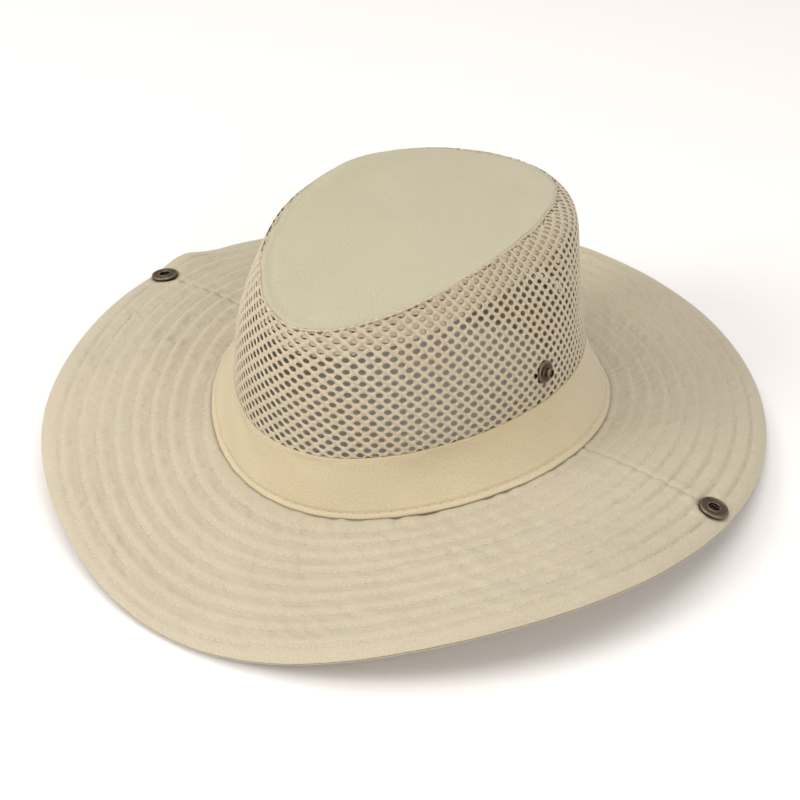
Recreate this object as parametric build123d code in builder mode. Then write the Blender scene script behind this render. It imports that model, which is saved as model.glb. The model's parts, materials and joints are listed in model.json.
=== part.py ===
from build123d import *
import math
import os

# Wide-brimmed sun hat with a mesh crown, standing on its brim.
# Millimetres. +Z is up, -Y is the front of the hat and +X is the wearer's left side.
# The origin is on the floor, under the middle of the hat.

os.makedirs("parts", exist_ok=True)

# ---- the four ovals that shape the hat: half width (X), half length (Y) ----
EDGE_OVAL = (177.0, 195.2)          # outer edge of the brim
SEAM_OVAL = (98.5, 113.0)           # where the band meets the top of the brim
BAND_TOP_OVAL = (81.7, 105.4)       # top of the band, bottom of the mesh
TIP_OVAL = (55.7, 96.1)             # seam between the mesh and the tip
OPENING_OVAL = (84.5, 103.0)        # inner edge of the brim, under the band

# An oval's corners are drawn in a little from a true ellipse, by this share at 45 degrees.
EDGE_SLIM = 0.005
SEAM_SLIM = 0.023
BAND_TOP_SLIM = 0.027
TIP_SLIM = 0.01

# Heights above the floor at the middle of each oval, its slope from front to back,
# and how far its sides stand above its ends (the saddle).
SEAM_HEIGHT, SEAM_SLOPE, SEAM_SADDLE = 18.0, -0.0775, 6.8
BAND_TOP_HEIGHT, BAND_TOP_SLOPE, BAND_TOP_SADDLE = 46.6, -0.0655, 4.4
TIP_HEIGHT, TIP_SLOPE, TIP_SADDLE = 117.4, -0.012, 7.2
BAND_TOP_SHIFT = -0.5               # the crown leans this far to the front at the band top
TIP_SHIFT = -1.65                   # and this far at the tip

# Height of the top of the brim's edge above the floor, every 30 degrees from +X to +Y.
EDGE_HEIGHTS = (17.8, 5.6, 1.9, 3.0, 6.8, 12.4, 23.4, 23.4, 15.2, 3.2, 17.6, 27.4)
EDGE_DROOP = 3.0                    # at front and back the edge bends down by this much
DROOP_START = 0.85                  # share of the brim's width where the bend starts
SIDE_BULGE = 3.0                    # the sides of the brim arch up by this much

# ---- cloth ----
BRIM_FABRIC = 0.45
BRIM_INTERLINING = 0.5
LAYER_GAP = 0.05
MESH_THICKNESS = 1.2
TIP_THICKNESS = 0.9
BAND_THICKNESS = 1.2
SWEATBAND_THICKNESS = 1.0
SWEATBAND_CLEAR = 1.5               # from the brim's inner edge
SWEATBAND_DROP = 1.0                # its top edge lies this far below the band's
TAPE_THICKNESS = 0.6
TAPE_CLEAR = 0.7                    # from the inside of the mesh
TAPE_BOTTOM, TAPE_TOP = 0.78, 0.91  # the seam tape's place as shares of the mesh height
SEWN_GAP = 0.15                     # between pieces that are sewn edge to edge
MESH_CURVE = 1.7                    # the front of the mesh leans in more and more towards the tip
SHOULDER_CURVE = 20.0               # the back stands up straighter and turns in at a shoulder
SHOULDER_LEAN = 0.47                # share of the back's lean that comes below the shoulder
LOWER_CURVE = 0.85                  # and how it comes, a little more of it low down
SHOULDER_START, SHOULDER_FULL = -0.1, 0.5  # sines of the angles between which the front becomes the back
BAND_CURVE = 1.7                    # the band flares out more and more towards the brim

# ---- fold lines of the two side flaps ----
FOLD_X = 115.0                      # from the middle of the hat, level with the snaps
FOLD_SLANT = 0.13                   # the lines draw together towards the back
FOLD_GAP = 0.25                     # from each line to the cut edges

# ---- snap fasteners ----
SNAP_X = 168.0                      # middle of each socket, on the brim's side seam
SNAP_GAP = 0.25                     # between the metal and the cloth
SOCKET_RADIUS = 7.3
SOCKET_HEIGHT = 2.0
SOCKET_BEVEL = 0.4                  # cut off the socket's outer corners
SOCKET_WALL_TOP = 1.2               # where the side wall starts to lean in
SOCKET_CREST = 1.1                  # from the side wall in to the top of the rim
SOCKET_DISH_START = 1.7             # from the side wall in to the dish inside the rim
SOCKET_DISH_OUTER, SOCKET_DISH_INNER = 1.6, 1.5  # heights of the dish at its two ends
SOCKET_MOUTH = 2.75                 # radius of the hole that takes the stud
MOUTH_LIP = 0.55                    # width of the flat lip round the mouth
MOUTH_SLOPE = 0.4                   # width of the slope from the lip down to the dish
LIP_DROP = 0.1                      # the lip and the rim's shoulder lie this far below the rim's top
SOCKET_CAVITY = 4.9                 # radius of the space for the spring
CAVITY_FLOOR, CAVITY_ROOF = 0.5, 1.15
SPRING_WIRE = 0.3                   # radius of the wire
SPRING_REACH = 1.9                  # from the middle to each side of the spring
RIVET_RADIUS = 2.0
RIVET_HOLE = 2.3
RIVET_TOP = 0.4                     # how far the rivet stands into the socket
RIVET_CLEAR = 0.1                   # between the rivet and the socket's floor
CAP_CLEAR = 0.1                     # between the cap and the brim, on top of the gap
CAP_EDGE = 0.4                      # thickness of the cap at its edge
CAP_DOME = 1.8
STUD_RADIUS = 5.5
STUD_FLANGE = 0.5                   # height of the flange's edge
STUD_SLOPE_WIDTH = 0.6              # the flange's top slopes in over this width
STUD_SHOULDER_IN, STUD_SHOULDER_OUT = 1.1, 1.0  # heights of the flange's top, near the neck and at the slope
NECK_FILLET = 0.3                   # width and height of the slope at the foot of the neck
STUD_NECK = 2.1
NECK_TOP = 2.2
STUD_HEAD = 2.5
HEAD_BOTTOM, HEAD_TOP = 2.8, 3.3    # where the head is widest
HEAD_BEVEL = 0.1
STUD_LIP = 0.2                      # width of the head's turned-in edge
STUD_HEIGHT = 4.0
STUD_BORE = 1.6
SHANK_RADIUS = 1.5
SHANK_TOP = 3.4
BACKPLATE_THICKNESS = 0.8
BACKPLATE_BEVEL = 0.3
STUD_RISE = 0.214                   # share of the mesh height where the stud sits
STUD_ANGLE = 4.6                    # degrees round from the side, towards the front

BACK_JOIN = (90.1, 449.9)           # the strips that go all round meet at the back

BRIM_THICKNESS = 2 * BRIM_FABRIC + BRIM_INTERLINING + 2 * LAYER_GAP
BRIM_INNER_SHARE, BRIM_OUTER_SHARE = -0.22, 1.02  # the brim's surface before its ovals are cut
BRIM_OVERRUN = 4                    # degrees that each half's surface runs on past the side seams
TIP_OVERRUN = 5.0                   # the tip's surface before its oval is cut
REACH = 250.0                       # further out than any part of the hat, for cutting

# ---- how finely the curved faces are sampled ----
POINTS_AROUND = 60
POINTS_UP = 24
BRIM_POINTS_ACROSS = 14
TIP_POINTS = 12
OVAL_POINTS = 36
FACE_TOLERANCE = 0.005
SLOPE_STEP = 1e-3                   # radians round, or share across, for measuring a slope


def mix(start, end, share):
    return start + (end - start) * share


def oval_point(half_width, half_length, slim, angle):
    """A point on an oval, at an angle in radians from +X towards +Y."""
    pull = 1 - slim * math.sin(2 * angle) ** 2
    return half_width * math.cos(angle) * pull, half_length * math.sin(angle) * pull


def edge_height(angle):
    """Trigonometric interpolation of EDGE_HEIGHTS."""
    count = len(EDGE_HEIGHTS)
    total = 0.0
    for index, height in enumerate(EDGE_HEIGHTS):
        turn = angle - math.tau * index / count
        half_tangent = math.tan(turn / 2)
        if abs(half_tangent) < 1e-9:
            return height
        total += height * math.sin(count * turn / 2) / (count * half_tangent)
    return total


def seam_height(angle):
    """Top of the brim under the lower edge of the band."""
    return SEAM_HEIGHT + SEAM_SLOPE * SEAM_OVAL[1] * math.sin(angle) + SEAM_SADDLE * math.cos(2 * angle)


def brim_point(angle, share, drop=0.0):
    """The brim's top surface: share 0 at the band seam, 1 at the edge."""
    x, y = oval_point(
        mix(SEAM_OVAL[0], EDGE_OVAL[0], share),
        mix(SEAM_OVAL[1], EDGE_OVAL[1], share),
        mix(SEAM_SLIM, EDGE_SLIM, share),
        angle,
    )
    droop = EDGE_DROOP * math.sin(angle) ** 2
    bend = max(0.0, (share - DROOP_START) / (1 - DROOP_START))
    arch = SIDE_BULGE * 4 * share * (1 - share) * math.cos(angle) ** 2
    z = mix(seam_height(angle), edge_height(angle) + droop, share) + arch - droop * bend**2
    return x, y, z - drop


def band_top_point(angle, inset=0.0, drop=0.0):
    half_width, half_length = BAND_TOP_OVAL
    x, y = oval_point(half_width - inset, half_length - inset, BAND_TOP_SLIM, angle)
    z = BAND_TOP_HEIGHT + BAND_TOP_SLOPE * y + BAND_TOP_SADDLE * math.cos(2 * angle)
    return x, y + BAND_TOP_SHIFT, z - drop


def tip_edge_point(angle, inset=0.0, drop=0.0):
    half_width, half_length = TIP_OVAL
    x, y = oval_point(half_width - inset, half_length - inset, TIP_SLIM, angle)
    z = TIP_HEIGHT + TIP_SLOPE * y + TIP_SADDLE * math.cos(2 * angle)
    return x, y + TIP_SHIFT, z - drop


def mesh_lean(angle, rise):
    """How far the mesh has leaned in from the band top's oval to the tip's, as a share."""
    front = rise**MESH_CURVE
    back = mix(rise**SHOULDER_CURVE, rise**LOWER_CURVE, SHOULDER_LEAN)
    share = (math.sin(angle) - SHOULDER_START) / (SHOULDER_FULL - SHOULDER_START)
    share = min(max(share, 0.0), 1.0)
    return mix(front, back, share * share * (3 - 2 * share))


def mesh_point(angle, rise, inset=0.0):
    """The outside of the mesh wall: rise 0 at the band top, 1 at the tip."""
    low = band_top_point(angle, inset)
    high = tip_edge_point(angle, inset)
    lean = mesh_lean(angle, rise)
    return mix(low[0], high[0], lean), mix(low[1], high[1], lean), mix(low[2], high[2], rise)


def band_point(angle, rise, inset=0.0):
    """The outside of the band: rise 0 on the brim, 1 at the bottom of the mesh."""
    low_x, low_y = oval_point(SEAM_OVAL[0] - inset, SEAM_OVAL[1] - inset, SEAM_SLIM, angle)
    low_z = seam_height(angle) + 2 * SEWN_GAP
    high = band_top_point(angle, inset, drop=SEWN_GAP)
    lean = 1 - (1 - rise) ** BAND_CURVE
    return mix(low_x, high[0], lean), mix(low_y, high[1], lean), mix(low_z, high[2], rise)


def sweatband_point(angle, rise, inset=0.0):
    """The outside of the sweatband: rise 0 at the brim opening, 1 behind the band top."""
    half_width, half_length = OPENING_OVAL
    clear = SWEATBAND_CLEAR + inset
    low_x, low_y = oval_point(half_width - clear, half_length - clear, SEAM_SLIM, angle)
    low_z = seam_height(angle) - BRIM_THICKNESS
    high = band_top_point(angle, BAND_THICKNESS + SWEATBAND_CLEAR / 2 + inset, drop=SWEATBAND_DROP)
    return mix(low_x, high[0], rise), mix(low_y, high[1], rise), mix(low_z, high[2], rise)


def tape_point(angle, rise, inset=0.0):
    """The outside of the seam tape, just inside the top of the mesh wall."""
    return mesh_point(angle, mix(TAPE_BOTTOM, TAPE_TOP, rise), MESH_THICKNESS + TAPE_CLEAR + inset)


def steps(start, end, count):
    return [mix(start, end, index / count) for index in range(count + 1)]


def surface(point_at, start, end, low, high, up=POINTS_UP, **offsets):
    """A smooth face through point_at(angle, share), for angles given in degrees."""
    rows = [
        [point_at(math.radians(angle), share, **offsets) for share in steps(low, high, up)]
        for angle in steps(start, end, POINTS_AROUND)
    ]
    return Face.make_surface_from_array_of_points(rows, tol=FACE_TOLERANCE)


def strip(point_at, start, end, low, high, thickness):
    """A strip of cloth between two nested faces, closed along its four edges."""
    outer = surface(point_at, start, end, low, high)
    inner = surface(point_at, start, end, low, high, inset=thickness)
    sides = []
    for edge in outer.edges():
        partner = inner.edges().sort_by_distance(edge.center())[0]
        sides.append(Face.make_surface_from_curves(edge, partner))
    return Solid(Shell([outer, inner] + sides))


def normal_plane(point_at, angle, share, towards_x, offset=0.0):
    """A plane that lies on a surface, with its Z pointing out of it and its X to one side."""
    here = Vector(*point_at(angle, share))
    along = Vector(*point_at(angle + SLOPE_STEP, share)) - here
    across = Vector(*point_at(angle, share + SLOPE_STEP)) - here
    out = along.cross(across).normalized()
    if out.dot(Vector(towards_x, 0, 1)) < 0:
        out = -out
    return Plane(origin=here + out * offset, x_dir=along, z_dir=out)


def profile_plane(place):
    """The plane of a turned part's half profile: radius along X, height along Y."""
    return Plane(origin=place.origin, x_dir=place.x_dir, z_dir=-place.y_dir)


def turned_axis(place):
    return Axis(place.origin, place.z_dir)


def oval_spline(half_width, half_length, slim):
    angles = steps(0, math.tau, OVAL_POINTS)[:-1]
    return Spline([oval_point(half_width, half_length, slim, angle) for angle in angles], periodic=True)


def save(builder, label):
    builder.part.label = label
    export_step(builder.part, f"parts/{label}.step")


# ---- crown ----
def tip_height(x, y):
    """The tip is stretched between its raised sides and its lower ends."""
    across = x / TIP_OVAL[0]
    along = (y - TIP_SHIFT) / TIP_OVAL[1]
    return TIP_HEIGHT + TIP_SLOPE * y + TIP_SADDLE * (across**2 - along**2)


with BuildPart() as crown_tip:
    tip_reach_x, tip_reach_y = TIP_OVAL[0] + TIP_OVERRUN, TIP_OVAL[1] + TIP_OVERRUN
    tip_rows = [
        [(x, y, tip_height(x, y)) for y in steps(-tip_reach_y, tip_reach_y, TIP_POINTS)]
        for x in steps(-tip_reach_x, tip_reach_x, TIP_POINTS)
    ]
    tip_face = Face.make_surface_from_array_of_points(tip_rows, tol=FACE_TOLERANCE)
    add(Solid.extrude(tip_face, Vector(0, 0, -TIP_THICKNESS)))
    with BuildSketch(Plane(origin=(0, TIP_SHIFT, 0))) as tip_outline:
        with BuildLine():
            rim = MESH_THICKNESS + SEWN_GAP
            oval_spline(TIP_OVAL[0] - rim, TIP_OVAL[1] - rim, TIP_SLIM)
        make_face()
    extrude(amount=REACH, mode=Mode.INTERSECT)
save(crown_tip, "crown_tip")

with BuildPart() as tip_seam_tape:
    add(strip(tape_point, *BACK_JOIN, 0, 1, TAPE_THICKNESS))
save(tip_seam_tape, "tip_seam_tape")

with BuildPart() as hat_band:
    add(strip(band_point, *BACK_JOIN, 0, 1, BAND_THICKNESS))
save(hat_band, "hat_band")

with BuildPart() as sweatband:
    add(strip(sweatband_point, *BACK_JOIN, 0, 1, SWEATBAND_THICKNESS))
save(sweatband, "sweatband")

stud_places = {
    "left": normal_plane(mesh_point, math.radians(-STUD_ANGLE), STUD_RISE, 1, SNAP_GAP),
    "right": normal_plane(mesh_point, math.radians(180 + STUD_ANGLE), STUD_RISE, -1, SNAP_GAP),
}

with BuildPart() as crown_mesh:
    add(strip(mesh_point, *BACK_JOIN, 0, 1, MESH_THICKNESS))
    with Locations(*stud_places.values()):
        Cylinder(STUD_BORE + SNAP_GAP, 4 * STUD_RADIUS, mode=Mode.SUBTRACT)
save(crown_mesh, "crown_mesh")


# ---- brim: two fabric layers with interlining between them, each cut at the folds ----
snap_share = (SNAP_X - SEAM_OVAL[0]) / (EDGE_OVAL[0] - SEAM_OVAL[0])
snap_places = {
    "left": normal_plane(brim_point, 0, snap_share, 0, SNAP_GAP),
    "right": normal_plane(brim_point, math.pi, snap_share, 0, SNAP_GAP),
}

brim_layers = {
    "brim_top": (0.0, BRIM_FABRIC),
    "brim_interlining": (BRIM_FABRIC + LAYER_GAP, BRIM_INTERLINING),
    "brim_bottom": (BRIM_FABRIC + BRIM_INTERLINING + 2 * LAYER_GAP, BRIM_FABRIC),
}
brim_halves = {
    "front": (-180 - BRIM_OVERRUN, BRIM_OVERRUN, -1),
    "back": (-BRIM_OVERRUN, 180 + BRIM_OVERRUN, 1),
}


def fold_line(side, beyond):
    """The two ends of a fold line on the floor plan, moved outwards by a distance."""
    return [(side * (FOLD_X + beyond - FOLD_SLANT * y), y) for y in (-REACH, REACH)]


brim_spans = {
    "": fold_line(1, -FOLD_GAP) + fold_line(-1, -FOLD_GAP)[::-1],
    "_left_flap": fold_line(1, FOLD_GAP) + [(REACH, REACH), (REACH, -REACH)],
    "_right_flap": fold_line(-1, FOLD_GAP) + [(-REACH, REACH), (-REACH, -REACH)],
}


def brim_piece(layer, half, span):
    first_angle, last_angle, side = brim_halves[half]
    drop, thickness = brim_layers[layer]
    with BuildPart() as piece:
        shares = BRIM_INNER_SHARE, BRIM_OUTER_SHARE
        top = surface(brim_point, first_angle, last_angle, *shares, up=BRIM_POINTS_ACROSS, drop=drop)
        add(Solid.extrude(top, Vector(0, 0, -thickness)))
        with BuildSketch():
            with BuildLine():
                oval_spline(*EDGE_OVAL, EDGE_SLIM)
            make_face()
            with BuildLine():
                oval_spline(*OPENING_OVAL, SEAM_SLIM)
            make_face(mode=Mode.SUBTRACT)
            with BuildLine():
                Polyline(*brim_spans[span], close=True)
            make_face(mode=Mode.INTERSECT)
            with Locations((0, side * (REACH / 2 + SEWN_GAP))):
                Rectangle(2 * REACH, REACH, mode=Mode.INTERSECT)
        extrude(amount=REACH, both=True, mode=Mode.INTERSECT)
        if span:
            with Locations(*snap_places.values()):
                Cylinder(RIVET_HOLE, 2 * SOCKET_RADIUS, mode=Mode.SUBTRACT)
    save(piece, layer + "_" + half + span)


for layer in brim_layers:
    for half in brim_halves:
        for span in brim_spans:
            brim_piece(layer, half, span)


# ---- snap sockets, one on each side of the brim, and their caps under it ----
def snap_socket(label, place):
    with BuildPart() as piece:
        with BuildSketch(profile_plane(place)):
            with BuildLine():
                Polyline(
                    (RIVET_RADIUS + RIVET_CLEAR, 0),
                    (SOCKET_RADIUS - SOCKET_BEVEL, 0),
                    (SOCKET_RADIUS, SOCKET_BEVEL),
                    (SOCKET_RADIUS, SOCKET_WALL_TOP),
                    (SOCKET_RADIUS - SOCKET_BEVEL, SOCKET_HEIGHT - LIP_DROP),
                    (SOCKET_RADIUS - SOCKET_CREST, SOCKET_HEIGHT),
                    (SOCKET_RADIUS - SOCKET_DISH_START, SOCKET_DISH_OUTER),
                    (SOCKET_MOUTH + MOUTH_LIP + MOUTH_SLOPE, SOCKET_DISH_INNER),
                    (SOCKET_MOUTH + MOUTH_LIP, SOCKET_HEIGHT - LIP_DROP),
                    (SOCKET_MOUTH, SOCKET_HEIGHT - LIP_DROP),
                    (SOCKET_MOUTH, CAVITY_ROOF),
                    (SOCKET_CAVITY, CAVITY_ROOF),
                    (SOCKET_CAVITY, CAVITY_FLOOR),
                    (RIVET_RADIUS + RIVET_CLEAR, CAVITY_FLOOR),
                    close=True,
                )
            make_face()
        revolve(axis=turned_axis(place))
    save(piece, label)


def snap_spring(label, place):
    """A bent wire whose two legs cross the mouth of the socket and grip the stud's neck."""
    leg = SOCKET_CAVITY - SPRING_REACH - 2 * SPRING_WIRE
    with BuildPart() as piece:
        level = place.offset((CAVITY_FLOOR + CAVITY_ROOF) / 2)
        with BuildLine(level) as bend:
            Polyline((-SPRING_REACH, -leg), (-SPRING_REACH, leg))
            ThreePointArc((-SPRING_REACH, leg), (0, leg + SPRING_REACH), (SPRING_REACH, leg))
            Polyline((SPRING_REACH, leg), (SPRING_REACH, -leg))
        with BuildSketch(Plane(origin=bend.wire() @ 0, z_dir=bend.wire() % 0)):
            Circle(SPRING_WIRE)
        sweep(path=bend.wire())
    save(piece, label)


def snap_cap(label, place):
    """A domed cap whose hollow-headed rivet passes up through the brim into the socket."""
    underside = -(BRIM_THICKNESS + 2 * SNAP_GAP + CAP_CLEAR)
    with BuildPart() as piece:
        with BuildSketch(profile_plane(place)):
            with BuildLine():
                Polyline(
                    (0, underside - CAP_DOME),
                    (0, RIVET_TOP),
                    (RIVET_RADIUS, RIVET_TOP),
                    (RIVET_RADIUS, underside),
                    (SOCKET_RADIUS, underside),
                    (SOCKET_RADIUS, underside - CAP_EDGE),
                )
                TangentArc((0, underside - CAP_DOME), (SOCKET_RADIUS, underside - CAP_EDGE), tangent=(1, 0))
            make_face()
        revolve(axis=turned_axis(place))
    save(piece, label)


for side, place in snap_places.items():
    snap_socket(f"{side}_snap_socket", place)
    snap_spring(f"{side}_snap_spring", place)
    snap_cap(f"{side}_snap_cap", place)


# ---- snap studs on the crown, and the backplates that hold them from inside ----
def snap_stud(label, place):
    with BuildPart() as piece:
        with BuildSketch(profile_plane(place)):
            with BuildLine():
                Polyline(
                    (STUD_BORE, 0),
                    (STUD_RADIUS, 0),
                    (STUD_RADIUS, STUD_FLANGE),
                    (STUD_RADIUS - STUD_SLOPE_WIDTH, STUD_SHOULDER_OUT),
                    (STUD_NECK + NECK_FILLET, STUD_SHOULDER_IN),
                    (STUD_NECK, STUD_SHOULDER_IN + NECK_FILLET),
                    (STUD_NECK, NECK_TOP),
                    (STUD_HEAD, HEAD_BOTTOM),
                    (STUD_HEAD, HEAD_TOP),
                    (STUD_NECK, STUD_HEIGHT - HEAD_BEVEL),
                    (STUD_BORE + STUD_LIP, STUD_HEIGHT),
                    (STUD_BORE, STUD_HEIGHT - HEAD_BEVEL),
                    close=True,
                )
            make_face()
        revolve(axis=turned_axis(place))
    save(piece, label)


def stud_backplate(label, place):
    inside = -(MESH_THICKNESS + 2 * SNAP_GAP)
    with BuildPart() as piece:
        with BuildSketch(profile_plane(place)):
            with BuildLine():
                Polyline(
                    (0, inside - BACKPLATE_THICKNESS),
                    (STUD_RADIUS - BACKPLATE_BEVEL, inside - BACKPLATE_THICKNESS),
                    (STUD_RADIUS, inside - BACKPLATE_THICKNESS + BACKPLATE_BEVEL),
                    (STUD_RADIUS, inside),
                    (SHANK_RADIUS, inside),
                    (SHANK_RADIUS, SHANK_TOP),
                    (0, SHANK_TOP),
                    close=True,
                )
            make_face()
        revolve(axis=turned_axis(place))
    save(piece, label)


for side, place in stud_places.items():
    snap_stud(f"{side}_snap_stud", place)
    stud_backplate(f"{side}_stud_backplate", place)
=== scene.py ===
"""A wide-brimmed sun hat with a mesh crown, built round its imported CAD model.

Metres. +Z is up, -Y is the front of the hat and +X is the wearer's left.
Most cloth is worked out as a smooth base surface, read from the CAD pieces, plus sewn detail.
"""
import json
import math

import bpy
import numpy as np
from mathutils import Matrix, Vector
from mathutils.bvhtree import BVHTree


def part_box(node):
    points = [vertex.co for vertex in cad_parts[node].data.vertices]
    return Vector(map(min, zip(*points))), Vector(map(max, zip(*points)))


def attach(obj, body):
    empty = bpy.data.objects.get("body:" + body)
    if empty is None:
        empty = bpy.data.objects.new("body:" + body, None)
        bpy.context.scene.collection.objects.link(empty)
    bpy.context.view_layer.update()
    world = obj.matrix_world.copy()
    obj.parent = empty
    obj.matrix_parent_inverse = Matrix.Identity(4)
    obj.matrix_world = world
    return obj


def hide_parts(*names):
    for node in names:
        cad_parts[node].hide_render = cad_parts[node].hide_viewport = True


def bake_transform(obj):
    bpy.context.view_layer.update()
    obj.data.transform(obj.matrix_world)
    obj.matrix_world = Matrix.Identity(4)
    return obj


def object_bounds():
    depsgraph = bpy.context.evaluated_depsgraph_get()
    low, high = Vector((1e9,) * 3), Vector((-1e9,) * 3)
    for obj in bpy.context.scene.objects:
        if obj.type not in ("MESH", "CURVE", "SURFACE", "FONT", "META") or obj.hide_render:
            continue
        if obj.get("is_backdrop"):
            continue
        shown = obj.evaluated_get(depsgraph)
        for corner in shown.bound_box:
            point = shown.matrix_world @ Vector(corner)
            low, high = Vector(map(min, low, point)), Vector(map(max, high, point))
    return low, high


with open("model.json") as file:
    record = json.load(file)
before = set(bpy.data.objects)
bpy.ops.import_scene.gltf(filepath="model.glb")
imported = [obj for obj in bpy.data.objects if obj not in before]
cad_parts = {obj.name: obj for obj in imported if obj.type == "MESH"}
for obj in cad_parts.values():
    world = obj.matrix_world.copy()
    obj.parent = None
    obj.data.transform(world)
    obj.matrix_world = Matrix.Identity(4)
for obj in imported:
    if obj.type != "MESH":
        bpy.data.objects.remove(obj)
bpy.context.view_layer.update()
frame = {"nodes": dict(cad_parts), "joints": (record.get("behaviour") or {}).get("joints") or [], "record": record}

MM = 0.001
TURN = 2 * math.pi

# ---- how the ovals of the hat differ from ellipses: drawn in by this share at 45 degrees ----
EDGE_SLIM = 0.005
OPENING_SLIM = 0.023

# ---- sewing ----
FIRST_ROW = 8.0 * MM          # from the brim's edge to the outermost quilting row
ROW_SPACING = 8.3 * MM
ROWS = 9
STITCH = 3.3 * MM             # from one needle hole to the next
THREAD = 0.22 * MM            # radius of the sewing thread
FABRIC = 0.45 * MM            # one layer of the brim's cloth
INTERLINING_HALF = 0.09 * MM  # half the thickness of the pressed stiffener

# ---- the air mesh, laid flat ----
HOLE_PITCH = 6.85 * MM        # along a row
ROW_STEP = 2.8 * MM           # between a row and the next, which is shifted by half a pitch
HOLE_SIZE = (1.72 * MM, 1.16 * MM)  # from a hole's middle to its rim, along a row and across it
MESH_SHEAR = -0.17            # the cloth is cut slightly off its grain
MESH_HALF_THICKNESS = 0.42 * MM

# ---- camera ----
CAMERA_AZIMUTH = 33.95
CAMERA_ELEVATION = 36.17
CAMERA_ROLL = 0.79
CAMERA_DISTANCE = 0.8167
CAMERA_LENS = 71.8
CAMERA_SHIFT = (-0.0174, -0.0132)
CAMERA_TARGET = (0.0, 0.0, 0.018)


# ====================================================================================
# Surfaces read from the frame
# ====================================================================================
def tree_of(*names):
    """A search tree over several CAD nodes."""
    points, faces = [], []
    for name in names:
        mesh = frame["nodes"][name].data
        base = len(points)
        points += [v.co.copy() for v in mesh.vertices]
        faces += [[base + i for i in p.vertices] for p in mesh.polygons]
    return BVHTree.FromPolygons(points, faces)


def nodes_with(prefix):
    return sorted(name for name in frame["nodes"] if name.startswith(prefix))


def half_turn_angles(count):
    """Angles all round, none of them on a seam."""
    return (np.arange(count) + 0.5) * TURN / count


class Surface:
    """A smooth closed surface through samples[angle, share, xyz], for shares from 0 to 1.

    Round the hat it is a sum of harmonics, and across them each is a polynomial.
    """

    def __init__(self, samples, shares, harmonics=20, degree=8):
        count = len(samples)
        waves = np.fft.rfft(samples, axis=0)[: harmonics + 1] / count
        waves[1:] *= 2
        basis = np.polynomial.chebyshev.chebvander(2 * shares - 1, degree)
        rows = np.moveaxis(waves, 1, 0).reshape(len(shares), -1)
        fitted = np.linalg.lstsq(basis.astype(complex), rows, rcond=None)[0]
        self.waves = fitted.reshape(degree + 1, harmonics + 1, samples.shape[2])
        self.degree = degree
        self.first = 0.5 * TURN / count

    def grid(self, angles, shares):
        """Points for every angle with every share: [angle, share, xyz]."""
        basis = np.polynomial.chebyshev.chebvander(2 * np.asarray(shares) - 1, self.degree)
        across = np.einsum("sd,dkc->skc", basis, self.waves)
        phases = np.exp(1j * np.outer(np.asarray(angles) - self.first, np.arange(self.waves.shape[1])))
        return np.einsum("ak,skc->asc", phases, across).real

    def at(self, angles, shares):
        """Points for matching lists of angles and shares."""
        result = np.empty((len(angles), self.waves.shape[2]))
        orders = np.arange(self.waves.shape[1])
        for low in range(0, len(angles), 20000):
            part = slice(low, low + 20000)
            basis = np.polynomial.chebyshev.chebvander(2 * shares[part] - 1, self.degree)
            across = np.einsum("pd,dkc->pkc", basis, self.waves)
            phases = np.exp(1j * np.outer(angles[part] - self.first, orders))
            result[part] = np.einsum("pk,pkc->pc", phases, across).real
        return result

    def frame_at(self, angles, shares):
        """Point, outward normal, direction round the hat and direction across, for lists."""
        step = 1e-4
        here = self.at(angles, shares)
        around = unit(self.at(angles + step, shares) - here)
        across = unit(self.at(angles, shares + step) - here)
        normal = unit(np.cross(around, across))
        return here, normal, around, across


def unit(vectors):
    length = np.linalg.norm(vectors, axis=-1, keepdims=True)
    return vectors / np.maximum(length, 1e-12)


def upward(normals):
    """The normals, each turned over where it points down."""
    return normals * np.sign(normals[..., 2:3])


def facing_out(normals, points):
    """The normals at these points, each turned over where it points at the middle of the hat."""
    return normals * np.sign(np.sum(normals[:, :2] * points[:, :2], 1, keepdims=True))


def lengths_along(line):
    """Distance along a line from its start to each of its points."""
    return np.concatenate([[0], np.cumsum(np.linalg.norm(np.diff(line, axis=0), axis=1))])


def grid_normals(points, closed):
    """Normals of a grid of points [angle, share, xyz], closed round the first axis or not."""
    if closed:
        around = np.roll(points, -1, axis=0) - np.roll(points, 1, axis=0)
    else:
        around = np.gradient(points, axis=0)
    across = np.gradient(points, axis=1)
    return unit(np.cross(around, across))


def oval(half_width, half_length, slim, angle):
    pull = 1 - slim * np.sin(2 * angle) ** 2
    return half_width * np.cos(angle) * pull, half_length * np.sin(angle) * pull


def first_hit(tree, start, direction):
    hit = tree.ray_cast(Vector(start), Vector(direction))[0]
    if hit is None:
        hit = tree.find_nearest(Vector(start))[0]
    return hit


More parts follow.
